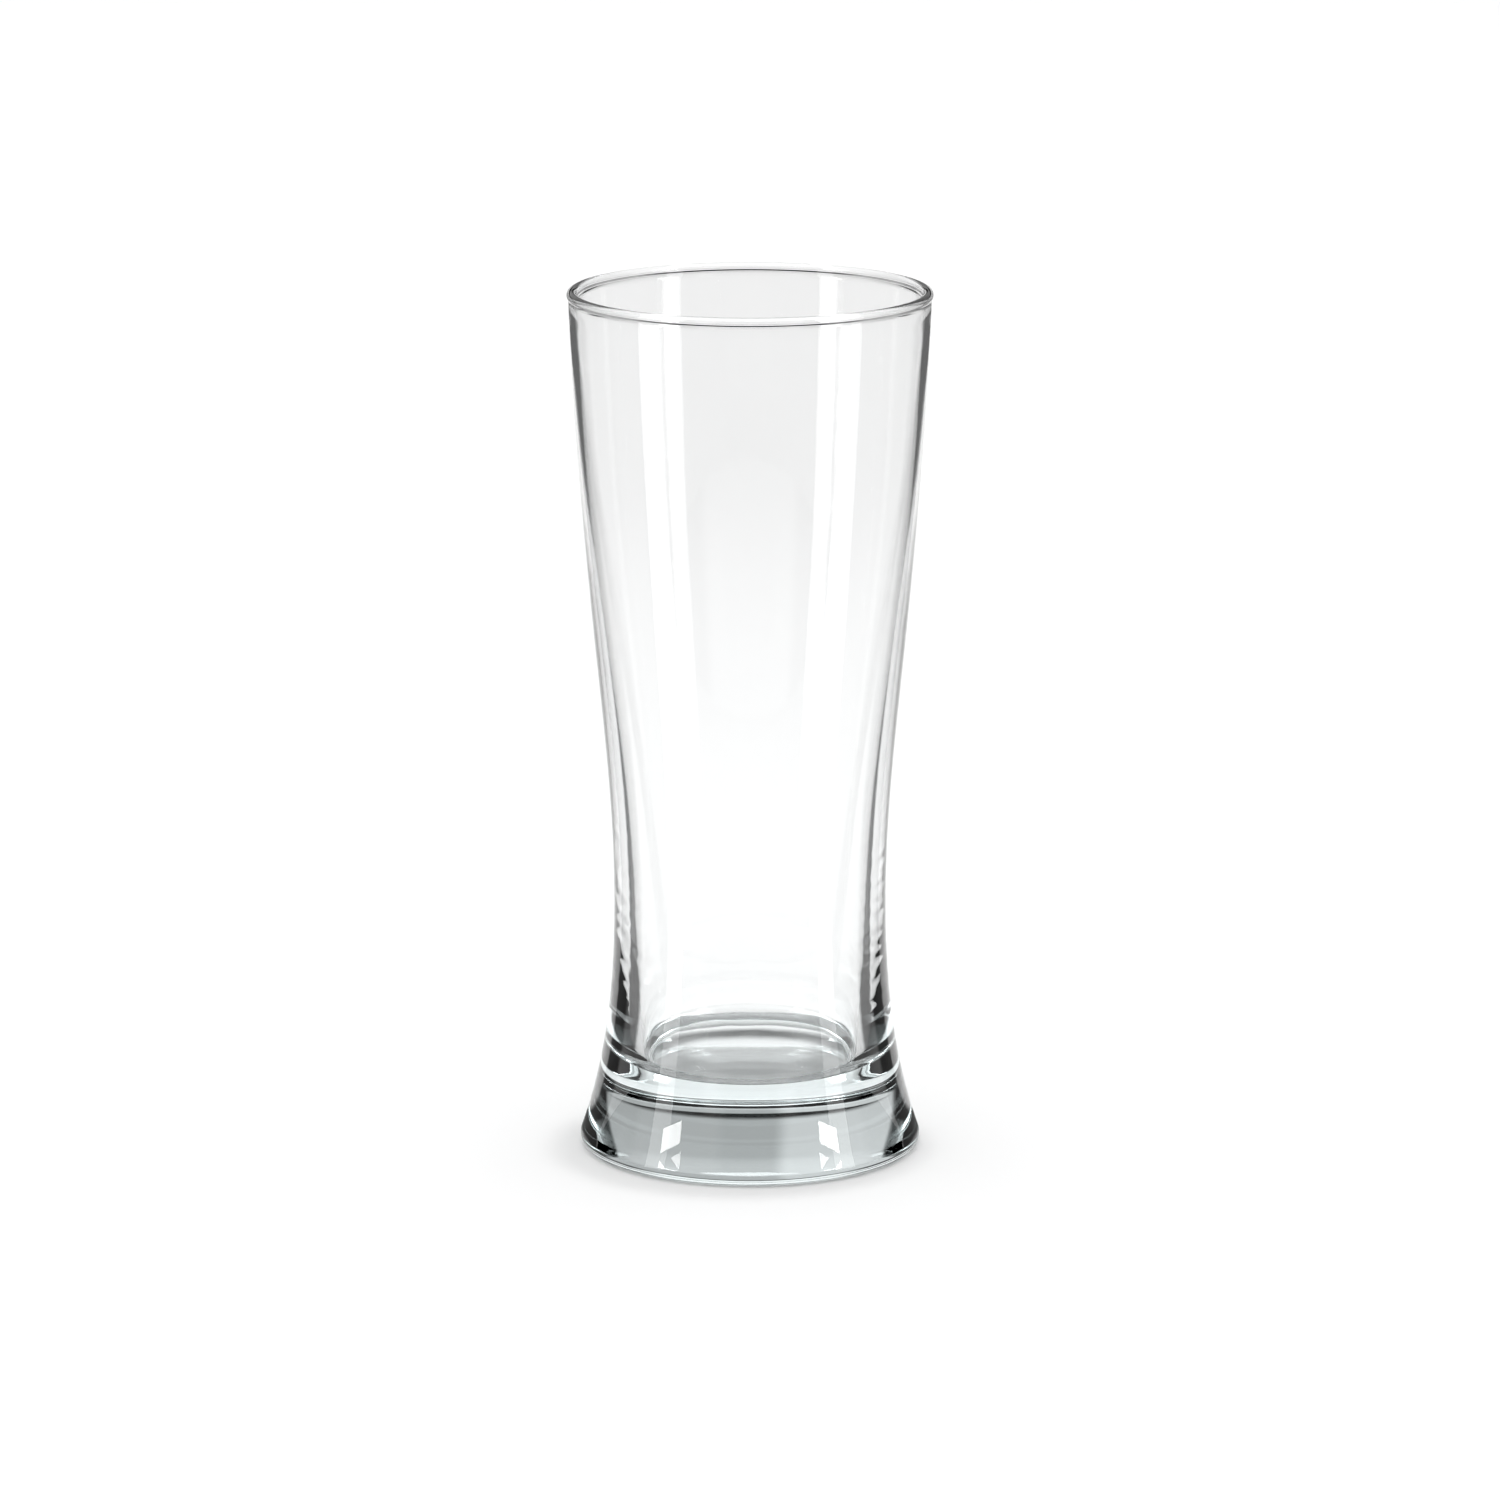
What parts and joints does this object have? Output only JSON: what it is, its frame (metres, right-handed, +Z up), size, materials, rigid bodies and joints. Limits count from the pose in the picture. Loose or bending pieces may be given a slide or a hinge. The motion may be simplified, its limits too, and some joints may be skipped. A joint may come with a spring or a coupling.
{
  "type": "pint beer glass",
  "caption": "Tall flared beer glass with a beaded rim, low waist, thick solid base and rounded flared foot, for serving a pint.",
  "frame": {"origin": "centre of the foot's bearing ring, on the plane that the glass stands on", "axes": "+Z up along the glass's axis of revolution, from the foot to the rim; X and Y are equivalent"},
  "size_m": [0.077, 0.077, 0.1855],
  "materials": {
    "clear_glass": "clear soda-lime glass, fire-polished, faint blue-green tint where it is thick"
  },
  "bodies": {
    "root": {"rim_bead": "clear_glass", "bowl_wall": "clear_glass", "waist_wall": "clear_glass", "sham_base": "clear_glass", "foot": "clear_glass"}
  },
  "joints": []
}
